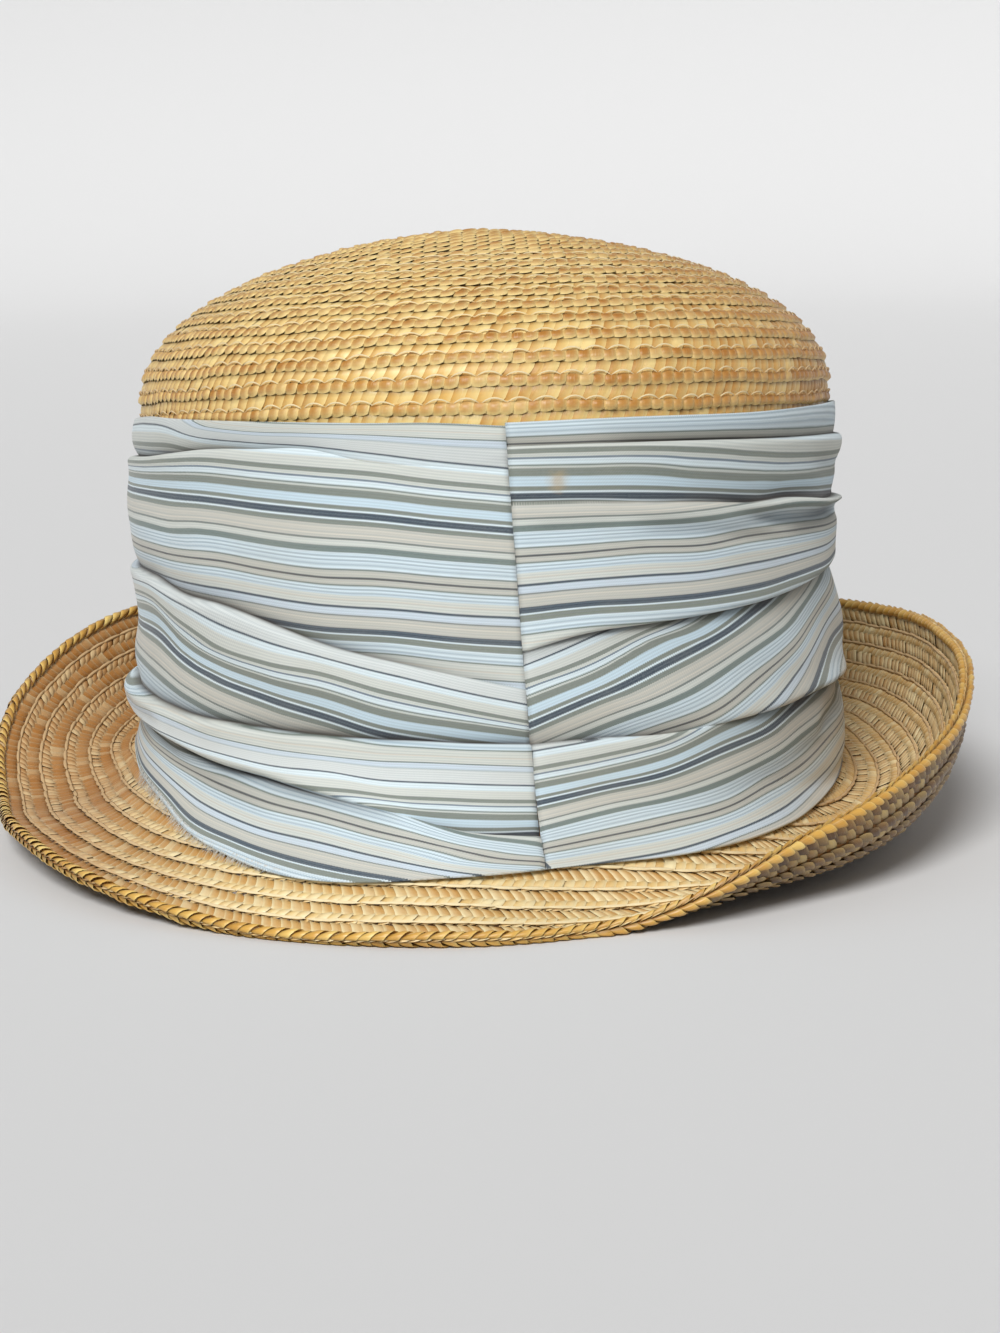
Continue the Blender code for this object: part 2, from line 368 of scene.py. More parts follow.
straw = {
    "crown": {"gold": "eaba60", "orange": "b2742a", "pale": "fde39c"},
    "rim": {"gold": "efbf5c", "orange": "ba7e30", "pale": "fcdf8a"},
    "brim": {"gold": "eccb86", "orange": "c48d46", "pale": "f7e6b6"},
    # under: the same straw painted darker, as painted shade on the brim's under side
    "under": {"gold": "8c6838", "orange": "422a12", "pale": "c0a468"},
    "tan": "ac7132",
    "white": "fff1cc",
    "shade": "4a3018",
    "thread": "ead6a6",
    "core": "80582c",
}

# Where the straw's colours begin and end, how far each one and the painted shade cover, and the
# fibres along it
strawLook = {
    "wornScale": 22.0, "worn": (0.35, 0.70), "top": (0.105, 0.140), "orange": (0.15, 1.0),
    "toneShare": 0.75, "wornShare": 0.20, "topShare": 0.35, "width": 0.09,
    "pale": 1.10, "paleOnOrange": 0.3, "paleOnTan": 0.55, "shade": 0.8,
    "lanes": 9.0, "tones": 40.0, "heights": 30.0, "fibre": (0.60, 0.75), "fibreShare": 0.25,
    "smooth": 0.28, "rough": 0.22, "bump": 0.5, "depth": 0.0002, "specular": 0.6,
}


def strawFinish(name, colours, sides, sideShade, lean):
    # sides: where the straw turns tan as painted shade on the hat's sides, by distance from the
    # middle, the next value how much, and lean: more at one side
    look = strawLook
    finish = Finish(name)
    tone, pale, lane, paintedShade = (finish.attribute(key) for key in ("tone", "pale", "lane", "paintedShade"))
    where = finish.place()
    x, _, height = finish.axes(where)
    worn = finish.noise(where, look["wornScale"], 3.0).ramp(*look["worn"])
    fibre = finish.noise(finish.joined(
        lane * look["lanes"], tone * look["tones"], height * look["heights"]), 1.0, 3.0)
    orange = (tone.ramp(*look["orange"]) * look["toneShare"] + worn * look["wornShare"]
              + height.ramp(*look["top"]) * look["topShare"]).held()
    # painted shade: tan towards the hat's sides, more on one side
    tan = (x.maths("ABSOLUTE").ramp(*sides)
           * (x.ramp(-look["width"], look["width"]) * lean + sideShade)).held()
    # painted highlights on the straws' edges and glinting straws, less on orange or tan straw
    cover = pale * (look["pale"] - orange * look["paleOnOrange"]) * (1.0 - tan * look["paleOnTan"])
    colour = finish.layered(
        colours["gold"], (orange, colours["orange"]), (tan, straw["tan"]),
        (cover.held(), colours["pale"]),
        (fibre.ramp(*look["fibre"]) * look["fibreShare"], straw["white"]),
        # painted shade: dark brown in the groove at each straw's side and under the row above
        (paintedShade * look["shade"], straw["shade"]))
    return finish.set(
        colour=colour, roughness=fibre * look["rough"] + look["smooth"],
        normal=finish.bump(fibre, look["bump"], look["depth"]), specular=look["specular"])


def threadFinish(sides=(0.045, 0.085), sideShade=0.55, turnsPerMetre=900):
    finish = Finish("stitch_thread")
    turns = finish.noise(finish.place((turnsPerMetre,) * 3), 1.0)
    # painted shade: the thread turns tan towards the hat's sides
    tan = finish.axes(finish.place())[0].maths("ABSOLUTE").ramp(*sides) * sideShade
    colour = finish.layered(straw["thread"], (turns * 0.5, straw["white"]), (tan, straw["tan"]))
    return finish.set(colour=colour, roughness=0.7, normal=finish.bump(turns, 0.4, 0.0001))


def coreFinish():
    finish = Finish("straw_core")
    grain = finish.noise(finish.place(), 700.0, 3.0)
    colour = finish.mix(grain, straw["core"], straw["tan"])
    return finish.set(colour=colour, roughness=0.7, normal=finish.bump(grain, 0.6, 0.0004))


def placed(name, data):
    item = bpy.data.objects.new(name, data)
    bpy.context.scene.collection.objects.link(item)
    return item


def makePiece(name, points, quads, finish, values=None, uv=None):
    data = bpy.data.meshes.new(name)
    points = toWorld(points.reshape(-1, 3))
    points[:, 2] = np.maximum(points[:, 2], 0)
    data.vertices.add(len(points))
    data.vertices.foreach_set("co", points.astype(np.float32).ravel())
    data.loops.add(quads.size)
    data.loops.foreach_set("vertex_index", quads.astype(np.int32).ravel())
    data.polygons.add(len(quads))
    data.polygons.foreach_set("loop_start", np.arange(0, quads.size, 4, dtype=np.int32))
    data.update(calc_edges=True)
    data.shade_smooth()
    for key, value in (values or {}).items():
        layer = data.attributes.new(key, "FLOAT", "POINT")
        layer.data.foreach_set("value", np.asarray(value, np.float32).ravel())
    if uv is not None:
        layer = data.uv_layers.new(name="cloth")
        layer.data.foreach_set("uv", np.asarray(uv, np.float32).ravel())
    data.materials.append(finish)
    return placed(name, data)


def gridQuads(along, across, closed=False):
    # faces of a grid whose points run across first, turned so that they face out
    columns = np.arange(along)
    following = (columns + 1) % along if closed else columns + 1
    rows = np.arange(across)
    a = columns[:, None] * (across + 1) + rows[None, :]
    b = following[:, None] * (across + 1) + rows[None, :]
    return np.stack((a, a + 1, b + 1, b), axis=-1).reshape(-1, 4)


def repeated(pattern, count):
    # the faces of a shape and of its copies
    return (pattern + (pattern.max() + 1) * np.arange(count)[:, None, None]).reshape(-1, 4)


def makeRing(name, points, finish):
    quads = gridQuads(points.shape[0], points.shape[1] - 1, closed=True)
    return makePiece(name, points, quads, finish)


def columnsOfRow(spot, row, spacing):
    # how many straws a row holds, and the azimuth at a count of them
    turn = np.linspace(0, 360, 721)
    points = spot(turn, row, 0.0)
    lengths = np.concatenate(((0.0,), np.cumsum(np.linalg.norm(np.diff(points, axis=0), axis=1))))
    count = max(int(round(lengths[-1] / spacing)), 4)
    return count, lambda place: np.interp(place % count, lengths / lengths[-1] * count, turn)


def strawGrid(steps):
    # places across and along a straw, and its faces
    u, t = np.meshgrid(*(np.linspace(0, 1, count + 1) for count in steps), indexing="ij")
    return u[None], t[None], gridQuads(*steps)


# How unevenly the hand lays straws and stitches, in shares of a column or a row, with lift and
# stitchRow in metres, how rarely a straw gets a painted glint, and how far down it the painted
# shade at its top goes
hand = {
    "place": 0.05, "width": 0.03, "end": 0.015, "pillow": 0.15, "lift": 0.00006,
    "stitchRow": 0.0001, "pale": 0.10, "glintFrom": 0.75, "glintOver": 1 / 6, "laneStep": 7,
    "shadeDown": 0.4,
}


def everywhere(azimuths, row):
    return np.ones(len(azimuths), bool)


def layStraws(spot, rows, form, seed, shown=everywhere, flip=False):
    # one small curved patch for each straw that shows in a row of braid
    random = np.random.default_rng(seed)
    u, t, pattern = strawGrid(form["steps"])
    arch, bow = 4 * u * (1 - u), 4 * t * (1 - t)
    swell = np.sqrt(arch) * np.sqrt(bow)
    narrow = 1 - form["taper"] * np.abs(2 * t - 1)**3
    gathered = {"points": [], "tone": [], "pale": [], "lane": [], "paintedShade": []}
    for row in rows:
        count, azimuthOf = columnsOfRow(spot, row + 0.5, form["spacing"])
        column = np.arange(count)[:, None, None] + form["start"]
        loose = random.normal(0, 1, (5, count, 1, 1))
        tone, glint = random.random((2, count, 1, 1))
        glint = smoothStep((glint - hand["glintFrom"]) / hand["glintOver"])
        along = (column + (u - 0.5) * form["width"] * narrow * (1 + hand["width"] * loose[0])
                 + form["slant"] * (0.5 - t) + form["bow"] * bow + form["loose"] * loose[1])
        across = (row + form["top"] + (form["bottom"] - form["top"]) * t
                  + form["scallop"] * arch * t**2 + hand["end"] * loose[2] * t)
        lift = (form["base"] + form["rise"] * t + form["tilt"] * (u - 0.5) - form["curl"] * t**6
                + form["pillow"] * swell * (1 + hand["pillow"] * loose[3])
                + hand["lift"] * loose[4])
        # painted highlights on the straw's lower edge and sides, and on straws that glint, with a
        # little random paleness
        pale = (form["paleEdge"] * t**form["rim"] + form["paleSide"] * u**form["rim"]
                + form["paleStart"] * (1 - u)**form["rim"] + hand["pale"] * loose[4]
                + form["glint"] * glint)
        values = {
            # tone: random, warm in the middle, and orange on the straw's one side as painted shade
            "tone": np.clip(
                tone * form["vary"] + form["warm"] * swell + form["shadedSide"] * (1 - u)**2, 0, 1),
            "pale": np.clip(pale, 0, 1),
            "lane": u * form["width"] + tone * hand["laneStep"],
            # painted shade: dark in the groove on the straw's one side and at its top, under the
            # row above
            "paintedShade": np.clip(form["dark"] * (1 - u)**5
                            + form["shadeUnderRow"] * (1 - t / hand["shadeDown"]), 0, 1),
        }
        keep = shown(azimuthOf(column[:, 0, 0]), row)
        gathered["points"].append(spot(azimuthOf(along), across, lift)[keep].reshape(-1, 3))
        for key, value in values.items():
            gathered[key].append(np.broadcast_to(value, along.shape)[keep].ravel())
    values = {key: np.concatenate(found) for key, found in gathered.items()}
    points = values.pop("points")
    return points, repeated(pattern[:, ::-1] if flip else pattern, len(points) // u.size), values


def threadGrid(form):
    # places along and round a thread, and its faces
    along = np.linspace(0, 1, form["pieces"] + 1)[None, :, None]
    turn = np.linspace(0, 2 * math.pi, form["sides"] + 1)[None, None, :]
    return along, turn, gridQuads(form["pieces"], form["sides"])[:, ::-1]


def layThread(spot, rows, form, shown=everywhere):
    # stitches along a row: each a thin arched tube over one or two straws
    random = np.random.default_rng(form["seed"])
    u, turn, pattern = threadGrid(form)
    ends = np.clip(4 * u * (1 - u), 0, 1)
    radius = form["radius"] * (form["thin"] + (1 - form["thin"]) * np.sqrt(ends))
    lift = form["lift"] + form["arch"] * np.sqrt(ends) + radius * np.sin(turn)
    found = []
    for row in rows:
        count, azimuthOf = columnsOfRow(spot, row, form["spacing"])
        middle = np.arange(count)[:, None, None] + 0.5
        loose = random.normal(0, 1, (3, count, 1, 1))
        place = middle + (u - 0.5) * form["reach"] + hand["place"] * loose[0] + 0 * turn
        across = row + (radius * np.cos(turn) + form["sway"] * (ends - 0.5)
                        + hand["stitchRow"] * loose[1]) / hat["rowPitch"]
        keep = shown(azimuthOf(middle[:, 0, 0]), row)
        found.append(spot(azimuthOf(place), across, lift)[keep].reshape(-1, 3))
    points = np.concatenate(found)
    return points, repeated(pattern, len(points) // (pattern.max() + 1))


def joinLots(lots):
    # several lots of straws as one piece
    points, quads, values, shift = [], [], {}, 0
    for lotPoints, lotQuads, lotValues in lots:
        points.append(lotPoints)
        quads.append(lotQuads + shift)
        shift += len(lotPoints)
        for key, value in lotValues.items():
            values.setdefault(key, []).append(value)
    return (np.concatenate(points), np.concatenate(quads),
            {key: np.concatenate(value) for key, value in values.items()})


def makeStraws(name, spot, rows, forms, seed, finish, shown=everywhere, flip=False):
    points, quads, values = joinLots([
        layStraws(spot, rows, form, seed + index, shown, flip)
        for index, form in enumerate(forms)])
    return makePiece(name, points, quads, finish, values)


# A straw's width, slant, bow and start are counted in columns, its top and bottom in rows, and
# its lifts in metres. vary and warm turn it orange, and shadedSide turns one side orange as
# painted shade. pale and glint turn it light as painted highlights, and dark and shadeUnderRow
# turn it dark brown as painted shade in the groove at its side and under the row above.
plainStraw = {
    "start": 0.0, "taper": 0.0, "bow": 0.0, "scallop": 0.0, "curl": 0.0, "warm": 0.0, "shadedSide": 0.0,
    "paleEdge": 0.0, "paleSide": 0.0, "paleStart": 0.0, "dark": 0.0,
}
crownBraid = {
    "rowsBelowShoulder": 2,
    "tipRow": 0.02,
    "seed": 11,
    "straws": (
        {
            **plainStraw, "spacing": 0.0029, "start": 0.25, "steps": (3, 4), "width": 1.50,
            "top": -0.10, "bottom": 0.60, "taper": 0.03, "slant": 0.62, "bow": 0.16, "loose": 0.03,
            "base": -0.0011, "rise": 0.0003, "pillow": 0.0006, "tilt": 0.0006, "paleSide": 1.0,
            "rim": 2, "dark": 0.20, "shadeUnderRow": 1.2, "vary": 0.45, "shadedSide": 0.9, "glint": 0.6,
        },
        {
            **plainStraw, "spacing": 0.0029, "steps": (6, 4), "width": 1.26, "top": 0.50,
            "bottom": 0.97, "taper": 0.10, "slant": 0.16, "loose": 0.03, "scallop": 0.07,
            "base": -0.0009, "rise": 0.0006, "pillow": 0.0008, "tilt": 0.0005, "curl": 0.0002,
            "paleEdge": 0.8, "paleSide": 1.0, "paleStart": 0.7, "rim": 5, "dark": 0.15,
            "shadeUnderRow": 0.2, "warm": 0.95, "vary": 0.25, "shadedSide": 0.2, "glint": 0.3,
        },
    ),
    "stitch": {
        "spacing": 0.0058, "sides": 4, "pieces": 6, "reach": 0.92, "radius": 0.00019,
        "thin": 0.35, "sway": -0.0009, "lift": -0.0001, "arch": 0.0003, "row": 0.53,
        "fromRow": 10, "seed": 5,
    },
    # turns of a wave round the crown, its step from row to row, and its size in rows
    "wave": ((3, 0.9, 0.05), (11, -1.7, 0.035), (24, 0.6, 0.02)),
    "waveFrom": 6,
}
# the last three values: where, how much and on which side painted shade turns the straw tan
strawCrown = strawFinish("crown_straw", straw["crown"], (0.02, 0.09), 0.40, 0.35)
strawBrim = strawFinish("brim_straw", straw["brim"], (0.05, 0.09), 0.92, -0.60)
strawRim = strawFinish("rim_straw", straw["rim"], (0.05, 0.10), 0.2, 0.0)
# the under braid: the same straw in darker colours, as painted shade
strawUnderShaded = strawFinish("under_straw_shaded", straw["under"], (0.05, 0.10), 0.1, 0.0)
stitching = threadFinish()
strawCore = coreFinish()


def wavyCrown(azimuths, rows, lift):
    # the rows of braid sway slightly up and down
    sway = sum(size * np.sin(np.radians(azimuths) * turns + rows * step)
               for turns, step, size in crownBraid["wave"])
    rows = rows + sway * smoothStep(rows / crownBraid["waveFrom"])
    return crownSpot(azimuths, np.maximum(rows, crownBraid["tipRow"]), lift)


rows = np.arange(0, domeRows + crownBraid["rowsBelowShoulder"])
crownPlait = makeStraws(
    "crown_braid", wavyCrown, rows, crownBraid["straws"], crownBraid["seed"], strawCrown)
stitch = crownBraid["stitch"]
points, quads = layThread(wavyCrown, rows[stitch["fromRow"]:] + stitch["row"], stitch)
crownStitches = makePiece("crown_stitches", points, quads, stitching)
print("crown braid: rows", len(rows), "triangles", 2 * len(crownPlait.data.polygons))

# The crown's wall under the braid, open below, with its inner side
crownShell = {
    "around": 240, "rows": 38, "samples": 4, "ridge": 0.0004, "under": 0.0013, "inside": 0.0025,
}


def shellPoints():
    azimuths = np.linspace(0, 360, crownShell["around"], endpoint=False)[:, None]
    seat = aroundTable(brimShape, azimuths, 1) * hat["wallHeight"] + hat["clearance"]
    lowest = domeRows + (hat["wallHeight"] - seat) / hat["rowPitch"]
    share = np.linspace(0, 1, crownShell["rows"] * crownShell["samples"] + 1)[None, :]
    rows = crownBraid["tipRow"] + share * (lowest - crownBraid["tipRow"])
    ridge = crownShell["ridge"] * (2 * (rows % 1) - 1)**2
    outer = crownSpot(azimuths, rows, -crownShell["under"])
    inner = crownSpot(azimuths, rows, ridge - crownShell["inside"])
    return np.concatenate((outer, inner[:, ::-1]), axis=1)


crownWall = makeRing("crown_wall", shellPoints(), strawCore)

# The brim: braid on top, on the under side and over the rim. A strand of the rim's rope has the
# angles over the edge where it starts and ends, and its slant.
brimBraid = {
    "seed": 31,
    "upper": (
        {
            **plainStraw, "spacing": 0.0023, "start": 0.2, "steps": (4, 4), "width": 1.40,
            "top": 0.02, "bottom": 0.66, "slant": -0.75, "bow": 0.08, "loose": 0.04,
            "base": -0.0008, "rise": 0.0004, "pillow": 0.0005, "tilt": -0.0006, "paleStart": 0.8,
            "rim": 4, "shadeUnderRow": 0.35, "warm": 0.85, "vary": 0.35, "glint": 0.5,
        },
        {
            **plainStraw, "spacing": 0.0023, "steps": (4, 4), "width": 1.36, "top": 0.56,
            "bottom": 1.03, "taper": 0.12, "slant": 0.6, "bow": 0.05, "loose": 0.04,
            "scallop": 0.04, "base": -0.0004, "rise": 0.0001, "pillow": 0.0005, "tilt": 0.0005,
            "curl": 0.0002, "paleEdge": 0.2, "paleSide": 0.8, "rim": 3, "dark": 0.55,
            "shadeUnderRow": 0.3, "vary": 0.3, "shadedSide": 0.6, "glint": 0.5,
        },
    ),
    "under": (
        {
            **plainStraw, "spacing": 0.0028, "start": 0.25, "steps": (4, 4), "width": 1.40,
            "top": -0.10, "bottom": 0.50, "taper": 0.06, "slant": 0.95, "bow": 0.1, "loose": 0.03,
            "base": -0.0013, "rise": 0.0007, "pillow": 0.0006, "tilt": 0.0009, "paleSide": 0.8,
            "rim": 3, "dark": 0.8, "shadeUnderRow": 1.0, "vary": 0.6, "shadedSide": 0.9, "glint": 0.7,
        },
        {
            **plainStraw, "spacing": 0.0028, "steps": (5, 5), "width": 1.25, "top": 0.40,
            "bottom": 0.92, "taper": 0.14, "slant": 0.8, "loose": 0.05, "scallop": 0.06,
            "base": -0.0005, "rise": 0.0005, "pillow": 0.0003, "tilt": 0.0008, "curl": 0.0004,
            "paleEdge": 0.3, "paleSide": 0.5, "rim": 6, "dark": 1.0, "shadeUnderRow": 0.6, "warm": 0.3,
            "vary": 0.8, "shadedSide": 0.8, "glint": 0.3,
        },
    ),
    "thread": {
        "spacing": 0.0058, "sides": 4, "pieces": 4, "reach": 1.12, "radius": 0.00042,
        "thin": 0.35, "sway": 0.0001, "lift": 0.0001, "arch": 0.0001, "row": 0.02, "seed": 7,
    },
    "rope": {
        "spacing": 0.0030, "steps": (6, 6), "width": 1.25, "radius": 0.0012, "inset": 0.0007,
        "pillow": 0.0004, "loose": 0.0001, "tilt": 0.0009, "tuck": 0.0009, "dark": 0.9,
        "tones": (0.3, 0.7), "paleSide": 0.6, "palePatch": 0.2, "seed": 41,
        "strands": ((165, 8, 1.3), (-8, -150, -1.2)),
    },
    "core": {"around": 240, "samples": 36, "top": 0.0009, "bottom": 0.0011},
    "underBand": 0.6,
}


def uncovered(azimuths, row):
    # the straws that the band doesn't hide
    covered = aroundTable(brimShape, azimuths, 5) * hat["brimRows"]
    return row + 1 > covered - brimBraid["underBand"]


def underSpot(azimuths, rows, lift):
    return brimSpot(azimuths, rows, -hat["strawWall"] - lift)


rows = np.arange(0, hat["brimRows"])
brimPlait = makeStraws(
    "brim_braid", brimSpot, rows, brimBraid["upper"], brimBraid["seed"], strawBrim, uncovered)
stitch = brimBraid["thread"]
points, quads = layThread(brimSpot, rows + stitch["row"], stitch, uncovered)
brimStitches = makePiece("brim_stitches", points, quads, stitching)
brimUnder = makeStraws("brim_under_braid", underSpot, rows, brimBraid["under"],
                       brimBraid["seed"] + 2, strawUnderShaded, flip=True)
print("brim braid: triangles", 2 * (len(brimPlait.data.polygons) + len(brimUnder.data.polygons)))


def ropeStrand(form, start, end, slant, seed):
    # scales wound over the rim's edge
    random = np.random.default_rng(seed)
    count, azimuthOf = columnsOfRow(brimSpot, hat["brimRows"], form["spacing"])
    u, t, pattern = strawGrid(form["steps"])
    loose = random.normal(0, 1, (3, count, 1, 1))
    tone = random.random((count, 1, 1))
    place = (np.arange(count)[:, None, None] + (u - 0.5) * form["width"] + slant * (0.5 - t)
             + hand["place"] * loose[0])
    angle = np.radians(start + (end - start) * t)
    swell, ends = np.sqrt(4 * u * (1 - u) * 4 * t * (1 - t)), np.abs(2 * t - 1)
    radius = (form["radius"] + form["pillow"] * swell + form["loose"] * loose[1]
              + form["tilt"] * (u - 0.5) - form["tuck"] * ends**4)
    across = (radius * np.cos(angle) - form["inset"]) / hat["rowPitch"]
    middle = (hat["rowStep"] - hat["strawWall"]) / 2
    points = brimSpot(azimuthOf(place), hat["brimRows"] + across, middle + radius * np.sin(angle))
    low, high = form["tones"]
    values = {
        "tone": low + (high - low) * tone,
        # painted highlights on both sides of each turn, with random pale patches
        "pale": np.clip(form["paleSide"] * np.abs(2 * u - 1)**3
                        + form["palePatch"] * loose[2], 0, 1),
        "lane": t * 2 + tone * hand["laneStep"],
        # painted shade in the gaps between turns and at their ends
        "paintedShade": form["dark"] * np.maximum((1 - u)**3, ends**4),
    }
    return points.reshape(-1, 3), repeated(pattern, count), {
        key: np.broadcast_to(value, place.shape).ravel() for key, value in values.items()}


def coreRing(form):
    # the plain straw between the upper and the under braid
    azimuths = np.linspace(0, 360, form["around"], endpoint=False)[:, None]
    rows = np.linspace(0, hat["brimRows"], form["samples"] + 1)[None, :]
    upper = brimSpot(azimuths, rows, -form["top"])
    lower = brimSpot(azimuths, rows[:, ::-1], -form["bottom"])
    return np.concatenate((upper, lower, upper[:, :1]), axis=1)


points, quads, values = joinLots([
    ropeStrand(brimBraid["rope"], *strand, brimBraid["rope"]["seed"] + index)
    for index, strand in enumerate(brimBraid["rope"]["strands"])])
rimRope = makePiece("rim_rope", points, quads, strawRim, values)
brimCore = makeRing("brim_core", coreRing(brimBraid["core"]), strawCore)
print("brim rope and core")

# The band: one striped cloth in five layers, each lapped with the next along a fold.
# A row gives the azimuth, counted on from the seam, then height and cloth four times down
# the layer, height in thousandths of the band's top edge, and cloth in 240 parts of a repeat.
bandLayers = (
    (
        (5, 974, 126, 947, 138.7, 932, 146.9, 927, 150),
        (25, 977, 126, 947, 138.7, 930, 146.5, 926, 149),
        (45, 978, 126, 944, 138.7, 930, 145, 924, 147),
        (65, 989, 126, 941, 138.7, 930, 143, 922, 146),
        (85, 1000, 122, 960, 131, 940, 138, 920, 145),
        (135, 995, 100, 970, 108, 945, 116, 920, 124), (180, 995, 75, 970, 84, 945, 93, 920, 102),
        (230, 1000, 45, 975, 54, 945, 66, 917, 80), (275, 1015, 22, 985, 34, 950, 48, 914, 64),
        (295, 1020, 19, 1007, 25, 960, 42, 919, 58), (305, 1011, 16, 992, 25, 960, 40, 930, 52),
        (315, 1003, -5, 993, 0.6, 965, 25, 940, 40), (325, 996, -12, 978, 0.6, 954, 25, 940, 34),
        (335, 990, -14, 972, 0.6, 945, 25, 938, 29), (345, 984, -14, 964, 0.6, 926, 25, 905, 35),
        (355, 979, -14, 951, 0.6, 902, 25, 890, 30.5), (365, 967, -14, 940, 0.6, 880, 25, 870, 30),
    ),
    (
        (5, 926, 41, 872, 65, 818, 86.2, 806, 93), (15, 925, 41, 867, 65, 812, 86.2, 801, 93),
        (25, 925, 40, 862, 65, 806, 86.2, 793, 92), (35, 924, 38, 846, 65, 800, 86.2, 788, 92),
        (45, 922, 34, 836, 65, 791, 86.2, 781, 90), (55, 920, 32, 868, 50, 829, 65, 784, 90),
        (70, 920, 28, 862, 50, 822, 66, 764, 91), (85, 919, 26, 862, 50, 820, 66, 757, 90),
        (135, 920, 28, 855, 62, 790, 96, 735, 122), (180, 920, 31, 845, 70, 765, 112, 700, 144),
        (230, 917, 35, 830, 79, 735, 128, 640, 170),
        (275, 914, 38, 827, 86.2, 740, 119.6, 598, 180),
        (295, 919, 38, 825, 86.2, 737, 119.6, 603, 180),
        (305, 930, 37, 823, 86.2, 734, 119.6, 580, 191),
        (315, 940, 35, 821, 86.2, 680, 146.9, 576, 193),
        (325, 940, 31, 814, 86.2, 674, 146.9, 555, 204),
        (335, 938, 27, 805, 86.2, 666, 146.9, 522, 218),
        (345, 905, 35, 790, 86.2, 594, 176.3, 484, 232),
        (355, 890, 30.5, 766, 86.2, 572, 176.3, 440, 239),
        (365, 870, 30, 744, 86.2, 553, 176.3, 400, 245.6),
    ),
    (
        (5, 799, 96, 687, 146.9, 568, 202, 478, 241), (15, 795, 96, 687, 146.9, 573, 202, 507, 231),
        (25, 788, 97, 692, 146.9, 573, 202, 520, 226),
        (35, 785, 102, 690, 146.9, 578, 202, 533, 222),
        (45, 779, 110, 705, 146.9, 589, 202, 549, 219),
        (55, 783, 112, 705, 146.9, 602, 202, 565, 219),
        (70, 763, 112, 690, 150, 606, 202, 583, 213), (85, 756, 112, 680, 152, 612, 202, 590, 212),
        (135, 735, 100, 660, 130, 580, 172, 520, 200), (180, 700, 70, 605, 100, 505, 145, 420, 185),
        (230, 638, 35, 550, 75, 430, 125, 320, 162), (275, 596, 6, 520, 50, 410, 98, 262, 145),
        (295, 596, 16, 521, 60, 450, 86.2, 271, 138), (305, 578, 19, 458, 65, 418, 86.2, 283, 133),
        (315, 574, 13, 472, 45.3, 397, 86.2, 302, 122),
        (325, 553, 10, 465, 45.3, 387, 86.2, 320, 111),
        (335, 520, 12, 460, 45.3, 367, 86.2, 327, 103),
        (345, 482, 13, 416, 45.3, 321, 86.2, 314, 89), (355, 438, 10, 369, 45.3, 333, 65, 293, 82),
        (365, 398, 6.6, 323, 45.3, 297, 65, 275, 75),
    ),
    (
        (5, 476, 9, 413, 45.3, 316, 86.2, 273, 106), (15, 505, 20, 411, 65, 365, 86.2, 272, 128),
        (25, 519, 36, 476, 65, 357, 109.3, 270, 150),
        (35, 532, 58, 472, 86.2, 388, 119.6, 284, 160),
        (45, 548, 78, 471, 109.3, 387, 146.9, 301, 182),
        (55, 564, 92, 488, 119.6, 380, 176.3, 311, 203),
        (70, 582, 112, 500, 150, 400, 202, 303, 228), (85, 588, 125, 490, 165, 390, 208, 280, 240),
        (135, 518, 150, 430, 185, 340, 220, 250, 248),
        (180, 418, 180, 350, 206, 285, 232, 220, 256),
        (230, 318, 210, 280, 228, 240, 246, 200, 264),
        (275, 260, 206, 240, 222, 205, 248, 182, 268),
        (295, 269, 230, 240, 244, 201, 265, 188, 272),
        (305, 281, 232, 250, 246, 214, 265, 193, 276),
        (315, 300, 227, 266, 240.6, 225, 265, 196, 282),
        (325, 318, 224, 279, 240.6, 236, 265, 206, 281),
        (335, 325, 225, 283, 240.6, 247, 265, 192, 290),
        (345, 312, 221, 265, 240.6, 184, 285.3, 148, 308),
        (355, 291, 219, 245, 240.6, 127, 305, 91, 322),
        (365, 272, 219, 224, 240.6, 111, 305, 68, 329),
    ),
    (
        (5, 267, 21, 180, 65, 80, 119.6, -7, 172), (15, 268, 26, 196, 65, 105, 119.6, -10, 176),
        (25, 270, 38, 182, 86.2, 88, 138.7, -10, 181), (35, 284, 58, 222, 86.2, 108, 138.7, 3, 190),
        (45, 301, 68, 255, 86.2, 151, 138.7, 27, 192),
        (55, 311, 80, 220, 119.6, 172, 138.7, 43, 196), (70, 303, 92, 225, 124, 150, 158, 45, 200),
        (85, 280, 104, 200, 134, 120, 168, 35, 206), (135, 250, 108, 170, 142, 85, 178, 0, 212),
        (180, 220, 112, 150, 144, 75, 178, 0, 213), (230, 200, 110, 140, 142, 75, 176, 5, 214),
        (275, 181, 100, 145, 125, 90, 162, 30, 214), (295, 187, 98, 160, 128, 91, 176.3, 36, 214),
        (305, 192, 112, 140, 148, 91, 176.3, 30, 216),
        (315, 195, 130, 147, 146.9, 80, 176.3, 1, 216),
        (325, 205, 126, 149, 146.9, 79, 176.3, -12, 222),
        (335, 190, 127, 141, 146.9, 74, 176.3, -24, 219),
        (345, 147, 125, 92, 146.9, 28, 176.3, -28, 206),
        (355, 88, 114, 34, 146.9, 9, 156, -22, 178), (365, 66, 107, 41, 119.6, 0, 146.9, -10, 155),
    ),
)

